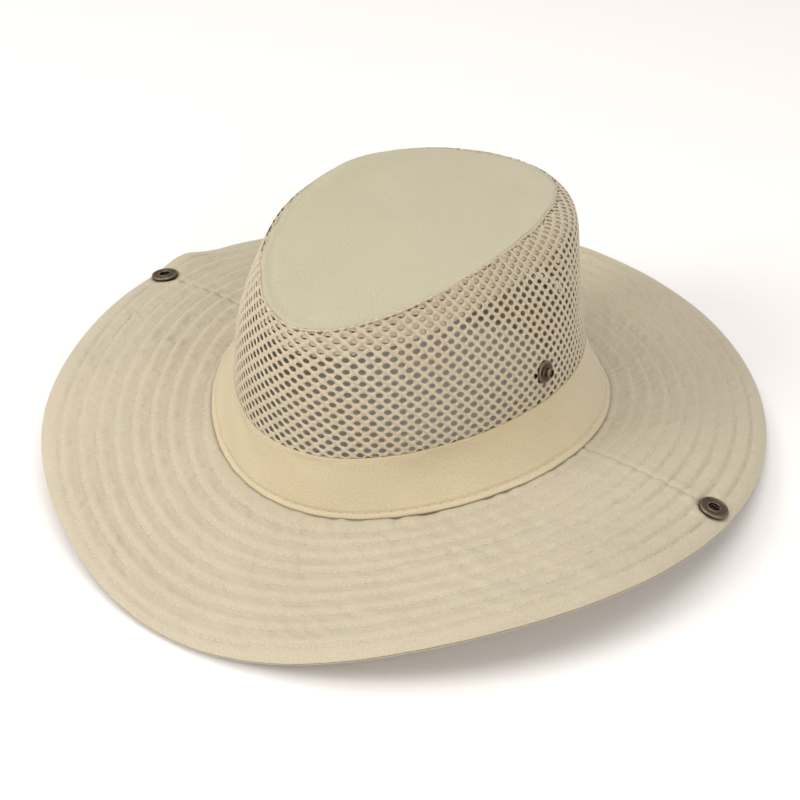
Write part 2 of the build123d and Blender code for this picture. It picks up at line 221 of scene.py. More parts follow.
def read_brim():
    """The brim's top surface: share 0 at the opening under the band, 1 at the edge."""
    tree = tree_of(*nodes_with("brim_top"))
    low = np.min([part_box(n)[0] for n in nodes_with("brim_top")], axis=0)
    high = np.max([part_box(n)[1] for n in nodes_with("brim_top")], axis=0)
    edge = (high[0] - low[0]) / 2, (high[1] - low[1]) / 2
    above = high[2] + 0.05
    inner = []
    for direction in ((1, 0.03), (0.03, 1)):
        reach = next(
            r for r in np.arange(0.06, 0.12, 0.0001)
            if tree.ray_cast(Vector((direction[0] * r, direction[1] * r, above)), Vector((0, 0, -1)))[0]
        )
        inner.append(reach)
    angles = half_turn_angles(120)
    shares = np.linspace(0.01, 0.995, 34)
    samples = np.empty((len(angles), len(shares), 3))
    for column, share in enumerate(shares):
        x, y = oval(
            inner[0] + (edge[0] - inner[0]) * share,
            inner[1] + (edge[1] - inner[1]) * share,
            OPENING_SLIM + (EDGE_SLIM - OPENING_SLIM) * share,
            angles,
        )
        for row in range(len(angles)):
            z = first_hit(tree, (x[row], y[row], above), (0, 0, -1)).z
            samples[row, column] = x[row], y[row], z
    return Surface(samples, shares, harmonics=14, degree=9), np.array(inner), np.array(edge)


def read_wall(name, outside=True, steps=25, harmonics=20, degree=8):
    """The outside (or inside) of a standing wall: share 0 at its foot, 1 at its top."""
    tree = tree_of(name)
    low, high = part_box(name)[0].z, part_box(name)[1].z
    angles = half_turn_angles(96)
    shares = np.linspace(0.015, 0.985, steps)
    samples = np.empty((len(angles), len(shares), 3))
    for row, angle in enumerate(angles):
        away = Vector((math.cos(angle), math.sin(angle), 0))

        def hit(z):
            if outside:
                return tree.ray_cast(away * 0.3 + Vector((0, 0, z)), -away, 0.3)[0]
            return tree.ray_cast(Vector((0, 0, z)), away)[0]

        heights = [z for z in np.arange(low - 0.001, high + 0.001, 0.0004) if hit(z)]
        foot, top = heights[0], heights[-1]
        found = [(share, hit(foot + (top - foot) * share)) for share in shares]
        found = [(share, place) for share, place in found if place]
        for axis in range(3):
            samples[row, :, axis] = np.interp(shares, [f[0] for f in found], [f[1][axis] for f in found])
    return Surface(samples, shares, harmonics, degree)


def read_tip():
    """Height of the tip as a function of the plan position, fitted to its top face."""
    tree = tree_of("crown_tip")
    low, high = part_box("crown_tip")
    rows, heights = [], []
    for angle in half_turn_angles(40):
        for share in np.linspace(0, 0.97, 12):
            x = share * (high.x - low.x) / 2 * math.cos(angle)
            y = (low.y + high.y) / 2 + share * (high.y - low.y) / 2 * math.sin(angle) * 0.98
            hit = tree.ray_cast(Vector((x, y, high.z + 0.05)), Vector((0, 0, -1)))[0]
            if hit:
                rows.append(quadratic_terms(x, y))
                heights.append(hit.z)
    return np.linalg.lstsq(np.array(rows), np.array(heights), rcond=None)[0]


def quadratic_terms(x, y):
    return [np.ones_like(x), x, y, x * x, x * y, y * y]


# ====================================================================================
# Noise, meshes and materials
# ====================================================================================
def smooth_step(t):
    return t * t * (3 - 2 * t)


def bell(away, width, power=2):
    """1 in the middle, falling to nothing soon after the width. A higher power gives a flatter top."""
    return np.exp(-((away / width) ** power))


def noise(u, v, cells, seed):
    """Smooth noise from -1 to 1. It repeats in u after a whole number of cells."""
    table = np.random.default_rng(seed).uniform(-1, 1, (cells, 128))
    u, v = np.broadcast_arrays(u, v)
    left, low = np.floor(u).astype(int), np.floor(v).astype(int)
    a, b = smooth_step(u - left), smooth_step(v - low)
    here = table[left % cells, low % 128] * (1 - a) + table[(left + 1) % cells, low % 128] * a
    over = table[left % cells, (low + 1) % 128] * (1 - a) + table[(left + 1) % cells, (low + 1) % 128] * a
    return here * (1 - b) + over * b


def make_mesh(name, points, faces, material, normals=None, uv=None):
    """A mesh object from arrays. faces is [n, 4], uv has one pair for each point."""
    mesh = bpy.data.meshes.new(name)
    faces = np.asarray(faces, np.int32)
    count, corners = faces.shape
    mesh.vertices.add(len(points))
    mesh.vertices.foreach_set("co", np.asarray(points, np.float32).ravel())
    mesh.loops.add(count * corners)
    mesh.loops.foreach_set("vertex_index", faces.ravel())
    mesh.polygons.add(count)
    mesh.polygons.foreach_set("loop_start", np.arange(count, dtype=np.int32) * corners)
    if uv is not None:
        layer = mesh.uv_layers.new(name="weave")
        layer.data.foreach_set("uv", np.asarray(uv, np.float32)[faces.ravel()].ravel())
    mesh.update(calc_edges=True)
    mesh.polygons.foreach_set("use_smooth", [True] * count)
    mesh.materials.append(material)
    if normals is not None:
        mesh.normals_split_custom_set_from_vertices(np.asarray(normals, np.float32))
    obj = bpy.data.objects.new(name, mesh)
    bpy.context.scene.collection.objects.link(obj)
    return obj


def grid_faces(rows, columns, closed=False, looped=False):
    """Quads of a grid of rows x columns points.

    closed joins the last row to the first, and looped the last column to the first.
    """
    row = np.arange(rows if closed else rows - 1)[:, None]
    column = np.arange(columns if looped else columns - 1)[None, :]
    next_row, next_column = (row + 1) % rows, (column + 1) % columns
    corners = np.broadcast_arrays(row * columns + column, next_row * columns + column,
                                  next_row * columns + next_column, row * columns + next_column)
    return np.stack(corners, -1).reshape(-1, 4)


FLIPPED = [0, 3, 2, 1]        # a quad's corners the other way round


class Nodes:
    """A short way to write a material's node tree."""

    def __init__(self, name):
        self.material = bpy.data.materials.new(name)
        self.material.use_nodes = True
        self.tree = self.material.node_tree
        self.shader = self.tree.nodes["Principled BSDF"]

    def add(self, kind, inputs=(), **settings):
        node = self.tree.nodes.new(kind)
        for key, value in settings.items():
            setattr(node, key, value)
        for key, value in dict(inputs).items():
            self.put(node.inputs[key], value)
        return node

    def put(self, socket, value):
        if hasattr(value, "is_output"):
            self.tree.links.new(value, socket)
        else:
            socket.default_value = value

    def set(self, **values):
        for key, value in values.items():
            self.put(self.shader.inputs[key.replace("_", " ")], value)

    def math(self, operation, *values):
        node = self.add("ShaderNodeMath", operation=operation)
        for socket, value in zip(node.inputs, values):
            self.put(socket, value)
        return node.outputs[0]

    def choose(self, share, first, second):
        """The first value where share is 1 and the second where it is 0."""
        rest = self.math("SUBTRACT", 1.0, share)
        return self.math("ADD", self.math("MULTIPLY", share, first), self.math("MULTIPLY", rest, second))

    def weave_map(self):
        return self.add("ShaderNodeUVMap", uv_map="weave").outputs["UV"]

    def place(self):
        return self.add("ShaderNodeTexCoord").outputs["Object"]

    def stretch(self, vector, scale):
        return self.add("ShaderNodeMapping", {"Vector": vector, "Scale": scale}).outputs["Vector"]

    def noise(self, vector, scale, detail=3.0, rough=0.5):
        inputs = {"Vector": vector, "Scale": scale, "Detail": detail, "Roughness": rough}
        return self.add("ShaderNodeTexNoise", inputs).outputs["Fac"]

    def bands(self, vector, scale, distortion, detail_scale=1.0):
        """Slanting bands, wavy by the distortion."""
        inputs = {"Vector": vector, "Scale": scale, "Distortion": distortion, "Detail": 2.0,
                  "Detail Scale": detail_scale}
        node = self.add("ShaderNodeTexWave", inputs, wave_type="BANDS", bands_direction="DIAGONAL")
        return node.outputs["Fac"]

    def openness(self, distance, samples):
        """1 in the open, less in a crevice."""
        return self.add("ShaderNodeAmbientOcclusion", {"Distance": distance}, samples=samples).outputs["AO"]

    def mix(self, share, first, second):
        inputs = {"Factor": share, "A": first, "B": second}
        return self.add("ShaderNodeMix", inputs, data_type="RGBA").outputs["Result"]

    def ramp(self, value, low, high, to_low=0.0, to_high=1.0):
        inputs = {"Value": value, "From Min": low, "From Max": high, "To Min": to_low, "To Max": to_high}
        return self.add("ShaderNodeMapRange", inputs).outputs["Result"]

    def bump(self, height, strength, distance, under=None):
        """Normals for a height map, on top of another one's normals or not."""
        node = self.add("ShaderNodeBump", {"Height": height, "Strength": strength, "Distance": distance})
        if under:
            self.put(node.inputs["Normal"], under)
        return node.outputs["Normal"]


def shade(colour, factor):
    return tuple(min(1.0, c * factor) for c in colour[:3]) + (1.0,)


def weave_pattern(n, uv, thread):
    """Crossing threads: the cloth's height, the gaps between the threads, and slubs along them."""
    parts = n.add("ShaderNodeSeparateXYZ", {"Vector": uv}).outputs
    warp_wave, weft_wave = (
        n.math("SINE", n.math("MULTIPLY", parts[axis], math.pi / thread)) for axis in ("X", "Y")
    )
    warp_on_top = n.math("GREATER_THAN", n.math("MULTIPLY", warp_wave, weft_wave), 0.0)
    warp, weft = n.math("ABSOLUTE", warp_wave), n.math("ABSOLUTE", weft_wave)
    gaps = n.math("MULTIPLY", warp, weft)
    top = n.choose(warp_on_top, warp, weft)
    height = n.math("ADD", n.math("MULTIPLY", top, 0.6), n.math("MULTIPLY", gaps, 0.4))
    slubs = n.choose(warp_on_top, n.noise(n.stretch(uv, (120.0, 2600.0, 1.0)), 1.0, 2.0),
                     n.noise(n.stretch(uv, (2600.0, 120.0, 1.0)), 1.0, 2.0))
    return height, gaps, slubs


def cloth_material(name, colour, thread=0.5 * MM, weave=0.5, mottle=0.05, warm=None):
    """Plain-woven cotton: crossing threads in the weave map's metres, slubs, soft patches of colour, and painted
    shade in the gaps between the threads and in crevices.
    """
    n = Nodes(name)
    uv = n.weave_map()
    height, gaps, slubs = weave_pattern(n, uv, thread)
    patches = n.noise(uv, 22.0, 4.0, 0.55)
    grain = n.noise(uv, 900.0, 3.0, 0.7)
    specks = n.noise(uv, 1300.0, 2.0, 0.6)
    tint = n.mix(n.ramp(patches, 0.35, 0.65), shade(colour, 1 - mottle), shade(colour, 1 + mottle * 0.8))
    if warm:
        tint = n.mix(n.ramp(n.noise(uv, 9.0, 2.0), 0.42, 0.68, 0.0, 0.55), tint, warm)
    tint = n.mix(n.ramp(slubs, 0.35, 0.7, 0.0, 0.35), tint, shade(colour, 0.84))
    # painted shade in the gaps between the threads
    tint = n.mix(n.ramp(gaps, 0.0, 0.25, 0.30 * weave, 0.0), tint, shade(colour, 0.45))
    tint = n.mix(n.ramp(grain, 0.42, 0.60, 0.0, 0.45), tint, shade(colour, 1.17))
    tint = n.mix(n.ramp(specks, 0.40, 0.60, 0.40, 0.0), tint, shade(colour, 0.80))
    # painted shade: much darker in crevices and where one part lies close against another
    tint = n.mix(n.ramp(n.openness(1.6 * MM, 4), 0.35, 0.94), shade(colour, 0.42), tint)
    threads = n.bump(n.math("ADD", height, n.math("MULTIPLY", slubs, 0.5)), weave, 0.12 * MM)
    n.set(Base_Color=tint, Roughness=n.ramp(slubs, 0.3, 0.7, 0.82, 0.94),
          Normal=n.bump(grain, 0.25, 0.15 * MM, threads))
    n.set(Sheen_Weight=0.25, Sheen_Roughness=0.45, Specular_IOR_Level=0.25)
    return n.material


def knit_material(name, colour):
    """Fine knitted yarn: short loops across each strand, and a slight shine."""
    n = Nodes(name)
    uv = n.weave_map()
    loops = n.bands(uv, 1.0 / (1.1 * MM) * 0.16, 3.0, 2.0)
    fibres = n.noise(n.stretch(uv, (1500.0, 500.0, 1.0)), 1.0, 3.0, 0.7)
    patches = n.noise(uv, 30.0, 3.0)
    warmer = (colour[0], colour[1] * 0.90, colour[2] * 0.80, 1)
    tint = n.mix(n.ramp(loops, 0.2, 0.8), shade(colour, 0.86), shade(colour, 1.08))
    tint = n.mix(n.ramp(fibres, 0.4, 0.7, 0.0, 0.5), tint, shade(colour, 1.22))
    tint = n.mix(n.ramp(patches, 0.4, 0.65, 0.0, 0.35), tint, warmer)
    n.set(Base_Color=tint, Roughness=0.62, Normal=n.bump(n.math("ADD", loops, fibres), 0.5, 0.15 * MM))
    n.set(Sheen_Weight=0.3, Sheen_Roughness=0.4, Specular_IOR_Level=0.35)
    return n.material


def thread_material(name, colour):
    """Twisted sewing thread with a soft shine."""
    n = Nodes(name)
    twist = n.bands(n.weave_map(), 450.0, 1.0)
    tint = n.mix(twist, shade(colour, 0.82), shade(colour, 1.08))
    n.set(Base_Color=tint, Roughness=0.5, Normal=n.bump(twist, 0.6, 0.05 * MM), Sheen_Weight=0.2)
    return n.material


def brass_material(name, colour):
    """Antique brass: brighter on its sharp edges, partly wear and partly a painted highlight, and nearly black in
    its recesses, partly dark patina and partly painted shade.
    """
    n = Nodes(name)
    place = n.place()
    blotches = n.noise(place, 420.0, 4.0, 0.6)
    scratches = n.noise(n.stretch(place, (900.0, 5000.0, 900.0)), 1.0, 2.0)
    # painted highlight on sharp edges, partly also wear
    edge_wear_and_highlight = n.ramp(n.add("ShaderNodeNewGeometry").outputs["Pointiness"], 0.47, 0.58)
    tint = n.mix(n.ramp(blotches, 0.38, 0.62), shade(colour, 0.45), shade(colour, 1.0))
    tint = n.mix(edge_wear_and_highlight, tint, shade(colour, 6.0))
    # painted shade in the recesses, partly also dark patina
    tint = n.mix(n.ramp(n.openness(5.0 * MM, 6), 0.45, 0.90), (0.006, 0.005, 0.004, 1), tint)
    rough = n.math("ADD", n.ramp(blotches, 0.3, 0.7, 0.34, 0.56), n.math("MULTIPLY", scratches, 0.12))
    relief = n.math("ADD", blotches, n.math("MULTIPLY", scratches, 0.4))
    n.set(Base_Color=tint, Metallic=0.95, Roughness=rough, Normal=n.bump(relief, 0.25, 0.1 * MM))
    return n.material


def wire_material(name):
    """Drawn spring steel."""
    n = Nodes(name)
    drawn = n.noise(n.place(), 1500.0, 2.0)
    n.set(Base_Color=n.mix(drawn, (0.05, 0.045, 0.04, 1), (0.12, 0.11, 0.10, 1)),
          Metallic=1.0, Roughness=n.ramp(drawn, 0.3, 0.7, 0.25, 0.45))
    return n.material


def felt_material(name, colour):
    """Stiff nonwoven: matted fibres pressed into a sheet."""
    n = Nodes(name)
    uv = n.weave_map()
    fibres = n.noise(uv, 1400.0, 5.0, 0.8)
    dots = n.add("ShaderNodeTexVoronoi", {"Vector": uv, "Scale": 700.0}).outputs["Distance"]
    tint = n.mix(n.ramp(fibres, 0.35, 0.65), shade(colour, 0.9), shade(colour, 1.03))
    n.set(Base_Color=tint, Roughness=0.95, Normal=n.bump(n.math("ADD", fibres, dots), 0.4, 0.1 * MM))
    return n.material


BRIM_COLOUR = (0.508, 0.437, 0.314)
TIP_COLOUR = (0.465, 0.420, 0.286)
BAND_COLOUR = (0.580, 0.482, 0.318)
MESH_COLOUR = (0.470, 0.396, 0.278)
SWEATBAND_COLOUR = (0.440, 0.355, 0.245)
TAPE_COLOUR = (0.62, 0.51, 0.37)
THREAD_COLOUR = (0.61, 0.555, 0.43)
# dark thread, darkened as painted shade of the band's needle holes
BAND_THREAD_HOLE_SHADE_COLOUR = (0.20, 0.14, 0.08)
BRASS_COLOUR = (0.070, 0.054, 0.036)

brim_cloth = cloth_material("brim_cloth", BRIM_COLOUR)
tip_cloth = cloth_material("tip_cloth", TIP_COLOUR, thread=0.42 * MM, mottle=0.04)
band_cloth = cloth_material("band_cloth", BAND_COLOUR, thread=0.42 * MM, warm=(0.62, 0.47, 0.24, 1))
sweatband_cloth = cloth_material("sweatband_cloth", SWEATBAND_COLOUR, thread=0.55 * MM, weave=0.7)
tape_cloth = cloth_material("tape_cloth", TAPE_COLOUR, thread=0.6 * MM, weave=0.6)
mesh_yarn = knit_material("mesh_yarn", MESH_COLOUR)
sewing_thread = thread_material("sewing_thread", THREAD_COLOUR)
band_thread = thread_material("band_thread", BAND_THREAD_HOLE_SHADE_COLOUR)
interlining_felt = felt_material("interlining_felt", (0.78, 0.77, 0.72))
antique_brass = brass_material("antique_brass", BRASS_COLOUR)
spring_steel = wire_material("spring_steel")


# ====================================================================================
# Pieces and the bodies they follow
# ==================================================================================== Pieces of the brim, and the fold lines of the flaps
FOLDS = {joint["child"]: joint for joint in frame["joints"]}


def bend(obj, flap):
    """Bakes the piece's transform into its mesh; the flap's fold line is worked out but not used."""
    joint = FOLDS[flap]
    place = Vector(joint["pos_m"])
    along = Vector((joint["axis"][0], joint["axis"][1], 0)).normalized()
    out = Vector((-along.y, along.x, 0))
    if out.x * place.x < 0:
        out = -out
    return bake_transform(obj)


# The four quarters of the brim in order round the hat, from the wearer's left towards the back.
QUARTERS = ("back_left", "back_right", "front_right", "front_left")


def quarter_rows(index, rows):
    """The rows of a surface round the hat that make one quarter of it, with the row at each end."""
    return (np.arange(rows // 4 + 1) + index * (rows // 4)) % rows


def bend_quarter(obj, quarter):
    bend(obj, quarter.split("_")[1] + "_flap")


def brim_quarter(obj, layer, quarter):
    """What a quarter of one brim layer stands for, whose CAD pieces are hidden, with its transform baked."""
    half, hand = quarter.split("_")
    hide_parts(f"{layer}_{half}", f"{layer}_{half}_{hand}_flap")
    bend_quarter(obj, quarter)


# ====================================================================================
# Brim
# ====================================================================================
TOP_SEED, UNDER_SEED = 11, 41
GROOVE = 0.34                 # millimetres from the smooth surface down to a quilting row
DEEPEST = 0.52 * MM           # the skins stay clear of the interlining between them
HEM_RADIUS = 0.34 * MM
UNDER_LIP = 0.45 * MM         # how far the underside's hem shows beyond the edge of the top

brim, brim_inner, brim_edge = read_brim()
BRIM_WIDTH = float(np.mean(brim_edge - brim_inner))
BRIM_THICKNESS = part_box("brim_top_front")[0].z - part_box("brim_bottom_front")[0].z + FABRIC
SNAP_SPOTS = [(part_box(f"{side}_snap_socket")[0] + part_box(f"{side}_snap_socket")[1]) / 2
              for side in ("left", "right")]

# how far the edge can roll down at each angle and still stay above the floor
roll_angles = np.linspace(0, TURN, 73)
edge_height = brim.grid(roll_angles, [1.0])[:, 0, 2] - BRIM_THICKNESS
roll_room = np.clip((edge_height - 2.5 * MM) * 0.25, 0, 1.3 * MM)


def degrees_round(angles):
    return np.degrees(angles) % 360


def swell(angles, shares):
    """Soft waves that the whole thickness of the brim takes part in, for arrays of one shape."""
    distance = (1 - shares) * BRIM_WIDTH
    waves = 0.50 * noise(angles / TURN * 17, distance / (40 * MM), 17, 14)
    waves = waves + 0.22 * noise(angles / TURN * 46, distance / (20 * MM), 46, 15)
    clear_of_band = smooth_step(np.clip((shares - 0.17) / 0.15, 0, 1))
    rolled = np.clip(1 - distance / (FIRST_ROW + 1 * MM), 0, 1) ** 1.5
    above_floor = np.interp(angles % TURN, roll_angles, roll_room)
    raised = edge_rise(angles, distance)
    return waves * np.clip(distance / (30 * MM), 0.3, 1) * clear_of_band * MM - rolled * above_floor + raised


def edge_rise(angles, distance):
    """The brim's edge stands up a little just behind the right snap."""
    return 4.2 * MM * bell(degrees_round(angles) - 173.5, 4.2) * bell(distance, 14 * MM)


def spread(points, angles, shares):
    """The edge bulges outward at the front right."""
    out = unit(points * (1, 1, 0))
    bulge = 2.2 * MM * shares**3 * bell(degrees_round(angles) - 222, 17)
    return out * bulge[..., None]


def brim_shape(angles, shares):
    """Points and upward normals of the brim's waving top surface, for a grid that closes round the hat."""
    base = brim.grid(angles, shares)
    up = upward(grid_normals(base, closed=True))
    both = np.broadcast_arrays(angles[:, None], shares[None, :])
    base = base + up * swell(*both)[..., None] + spread(base, *both)
    return base, upward(grid_normals(base, closed=True))


def row_drift(angles, distance):
    """How much further in than even spacing a quilting row is sewn, at a distance from the edge."""
    degrees = degrees_round(angles)
    front = (-3.6 * MM + 0.024 * distance) * bell(degrees - 262, 32)
    return front + 2.8 * MM * bell(degrees - 205, 35)


def quilting(angles, shares, seed):
    """How far the cloth stands out from the brim's smooth surface, for a grid of angles and shares."""
    a, s = angles[:, None], shares[None, :]
    arc = a / TURN
    distance = (1 - s) * BRIM_WIDTH
    phase = (distance - row_drift(a, distance) - FIRST_ROW) / ROW_SPACING
    row = np.clip(np.round(phase), 0, ROWS - 1)
    off = (phase - row) * ROW_SPACING
    near = np.abs(off) / (1.5 * MM)
    between = (phase > 0) & (phase < ROWS - 1)
    fill = np.where(between, np.abs(np.sin(math.pi * phase)), np.clip(near / 2, 0, 1))
    pillow = 0.68 * fill**0.7
    lean = 0.34 * np.sin(TURN * phase) * between
    beside = near * np.exp(1 - near)
    scallops = 0.40 * noise(arc * 230 + 0.2 * off / MM, row * 3.3 + 0.5, 230, seed) * beside
    fine = 0.24 * noise(arc * 520, row * 5.1 + np.sign(off), 520, seed + 1) * beside
    fullness = 1 + 0.4 * noise(arc * 11, distance / (25 * MM), 11, seed + 4)
    relief = (pillow + lean + scallops + fine) * fullness - GROOVE * bell(off, 0.80 * MM)
    return relief * MM + drag(a, distance, seed)


def drag(angles, distance, seed):
    """Small creases across the quilting rows, deeper at the front left of the hat."""
    left = bell(degrees_round(angles) - 305, 38)
    creases = noise(angles / TURN * 150 + distance / MM * 0.05, distance / (8.0 * MM), 150, seed + 2)
    return (0.15 + 0.42 * left) * creases * MM


def side_seam(points):
    """The pressed-open seam that joins the front and back halves at each side."""
    y = np.abs(points[..., 1])
    return (0.45 * bell(y - 3.2 * MM, 2.6 * MM, 4) - 0.80 * bell(y, 0.6 * MM)) * MM


def calm_at_snaps(points, height):
    """The cloth is pressed flat where a snap is riveted through it."""
    for spot in SNAP_SPOTS:
        away = np.hypot(points[..., 0] - spot.x, points[..., 1] - spot.y)
        near = bell(away, 8.6 * MM, 6)
        height = height * (1 - near) - 0.12 * MM * near + 0.18 * MM * bell(away - 10.5 * MM, 2.0 * MM)
    return height


AROUND = 880
ACROSS = 104
brim_angles = np.arange(AROUND) * TURN / AROUND
brim_shares = np.linspace(0, 1, ACROSS)
brim_base, brim_normals = brim_shape(brim_angles, brim_shares)
brim_outward = unit(np.gradient(brim_base, axis=1))

# how far each of those points lies from the foot of the band, where that is near
band = read_wall("hat_band")
band_foot = band.grid(np.arange(720) * TURN / 720, [0.0])[:, 0, :2]
near_band = brim_shares < 0.3
from_band = np.full(brim_base.shape[:2], 1.0)
from_band[:, near_band] = np.array([
    np.linalg.norm(row[:, None, :2] - band_foot[None], axis=-1).min(axis=1)
    for row in brim_base[:, near_band]])


def brim_skin(label, layer, side, depth, lip, seed):
    """One cloth layer of the brim in four quarters, with its hem turned in at the edge.

    side is 1 for the top and -1 for the underside, depth how far the layer lies below the smooth
    top surface, and lip how far its edge stands out beyond that surface's edge.
    """
    height = quilting(brim_angles, brim_shares, seed) + side_seam(brim_base)
    if side > 0:
        height = height - 0.28 * MM * bell(from_band - 0.5 * MM, 0.9 * MM)
    height = np.maximum(calm_at_snaps(brim_base, height), -DEEPEST)
    fade = smooth_step(np.clip((1 - brim_shares) * BRIM_WIDTH / (2.5 * MM), 0, 1))
    points = brim_base + brim_normals * (side * height * fade[None, :] - depth)[..., None]
    points = points + brim_outward * (lip * (1 - fade))[None, :, None]
    edge, out, up = points[:, -1], brim_outward[:, -1], brim_normals[:, -1] * side
    wobble = 1 + 0.25 * noise(brim_angles / TURN * 160, 0.5, 160, seed + 7)[:, None]
    hem = [edge + out * HEM_RADIUS * math.sin(turn) * wobble + up * HEM_RADIUS * (math.cos(turn) - 1)
           for turn in np.radians([20, 45, 70, 90, 115, 140, 165, 180])]
    hem += [edge - out * inward - up * 2 * HEM_RADIUS for inward in (1.2 * MM, 3.5 * MM)]
    points = np.concatenate([points, np.stack(hem, 1)], 1)
    normals = grid_normals(points, closed=True)
    if normals[0, 5, 2] * side < 0:
        normals = -normals
    for index, quarter in enumerate(QUARTERS):
        rows = quarter_rows(index, AROUND)
        patch = points[rows].reshape(-1, 3)
        faces = grid_faces(len(rows), points.shape[1])
        if side > 0:
            faces = faces[:, ::-1]
        obj = make_mesh(f"{label}_{quarter}", patch, faces, brim_cloth,
                        normals[rows].reshape(-1, 3), patch[:, :2])
        brim_quarter(obj, layer, quarter)


def interlining():
    """The stiffener between the two cloths, in quarters, with its points under the cloths' own points."""
    step = AROUND // 440
    inside = slice(2, -2, 2)
    base, normals = brim_base[::step, inside], brim_normals[::step, inside]
    top = base - normals * (BRIM_THICKNESS / 2 - INTERLINING_HALF)
    bottom = base - normals * (BRIM_THICKNESS / 2 + INTERLINING_HALF)
    ring = np.concatenate([top, bottom[:, ::-1]], 1)
    columns = ring.shape[1]
    across = np.arange(columns // 2 - 1)
    cap = np.stack([across, across + 1, columns - 2 - across, columns - 1 - across], -1)
    for index, quarter in enumerate(QUARTERS):
        rows = quarter_rows(index, len(ring))
        points = ring[rows].reshape(-1, 3)
        sides = grid_faces(len(rows), columns, looped=True)[:, FLIPPED]
        faces = np.concatenate([sides, cap[:, ::-1], cap + (len(rows) - 1) * columns])
        obj = make_mesh(f"brim_interlining_{quarter}", points, faces, interlining_felt, uv=points[:, :2])
        brim_quarter(obj, "brim_interlining", quarter)


def stitch_mesh(starts, ends, normals, lift, radius=THREAD):
    """Points, faces and uvs of many stitches: each dives into the cloth at both ends."""
    rings, sides = 6, 6
    count = len(starts)
    t = np.linspace(0, 1, rings)
    middle = starts[:, None] + (ends - starts)[:, None] * t[None, :, None]
    arch = lift * (np.sin(math.pi * t) ** 0.6) - radius * 1.4 * (np.abs(2 * t - 1) ** 6)
    middle = middle + normals[:, None] * arch[None, :, None]
    across = unit(np.cross(normals, unit(ends - starts)))
    turn = np.arange(sides) * TURN / sides
    width = radius * (0.55 + 0.45 * np.sin(math.pi * np.clip(t, 0.12, 0.88)))
    circle = (across[:, None, None] * np.cos(turn)[None, None, :, None]
              + normals[:, None, None] * np.sin(turn)[None, None, :, None] * 0.8)
    points = middle[:, :, None] + circle * width[None, :, None, None]
    quads = grid_faces(rings, sides, looped=True)[:, FLIPPED]
    faces = (quads[None] + (np.arange(count) * rings * sides)[:, None, None]).reshape(-1, 4)
    length = np.linalg.norm(ends - starts, axis=1)
    uv = np.empty((count, rings, sides, 2))
    uv[..., 0] = (t[None, :] * length[:, None])[..., None] + np.arange(count)[:, None, None] * 0.01
    uv[..., 1] = turn[None, None, :] * radius
    return points.reshape(-1, 3), faces, uv.reshape(-1, 2)


def quilting_row(row, side, depth, rng):
    """Start, end, normal and quarter of each stitch in one row of quilting."""
    from_edge = FIRST_ROW + row * ROW_SPACING
    dense = np.linspace(0, TURN, 1441)
    dense_shares = 1 - (from_edge + row_drift(dense, from_edge)) / BRIM_WIDTH
    length = lengths_along(brim.at(dense, dense_shares))
    count = int(length[-1] / STITCH)
    middles = (np.arange(count) + rng.uniform(0.3, 0.7, count)) * length[-1] / count
    angles = np.interp(middles, length, dense)
    shares = np.interp(middles, length, dense_shares) + rng.normal(0, 0.10 * MM, count) / BRIM_WIDTH
    here, normal, around, across = brim.frame_at(angles, shares)
    normal = upward(normal)
    here = here + normal * swell(angles, shares)[:, None] + spread(here, angles, shares)
    direction = unit(around + across * rng.normal(0.06, 0.05, count)[:, None])
    reach = direction * (STITCH * rng.uniform(0.38, 0.43, count))[:, None]
    creases = drag(angles, (1 - shares) * BRIM_WIDTH, TOP_SEED if side > 0 else UNDER_SEED)
    seat = np.maximum(creases - GROOVE * MM, -DEEPEST)
    centre = here + normal * (side * seat - depth)[:, None]
    return centre - reach, centre + reach, normal * side, (angles / (TURN / 4)).astype(int) % 4


def brim_stitches(label, side, depth, seed):
    """The quilting threads of one face of the brim, in quarters."""
    rng = np.random.default_rng(seed)
    rows = [quilting_row(row, side, depth, rng) for row in range(ROWS)]
    starts, ends, normals, quarter_of = (np.concatenate(part) for part in zip(*rows))
    for index, quarter in enumerate(QUARTERS):
        pick = quarter_of == index
        points, faces, uv = stitch_mesh(starts[pick], ends[pick], normals[pick], 0.20 * MM)
        obj = make_mesh(f"{label}_{quarter}", points, faces, sewing_thread, uv=uv)
        bend_quarter(obj, quarter)


brim_skin("brim_top_cloth", "brim_top", 1, 0.0, 0.0, TOP_SEED)
brim_skin("brim_under_cloth", "brim_bottom", -1, BRIM_THICKNESS, UNDER_LIP, UNDER_SEED)
interlining()
brim_stitches("brim_top_thread", 1, 0.0, 5)
brim_stitches("brim_under_thread", -1, BRIM_THICKNESS, 6)


def hem_rows(face, back, rise, turns):
    """Rows round a hem between the edges of a strip's two sides: [angle, row, xyz]."""
    middle, half = (face + back) / 2, (face - back) / 2
    return np.stack([middle + half * math.cos(turn) + rise * math.sin(turn) for turn in np.radians(turns)], 1)


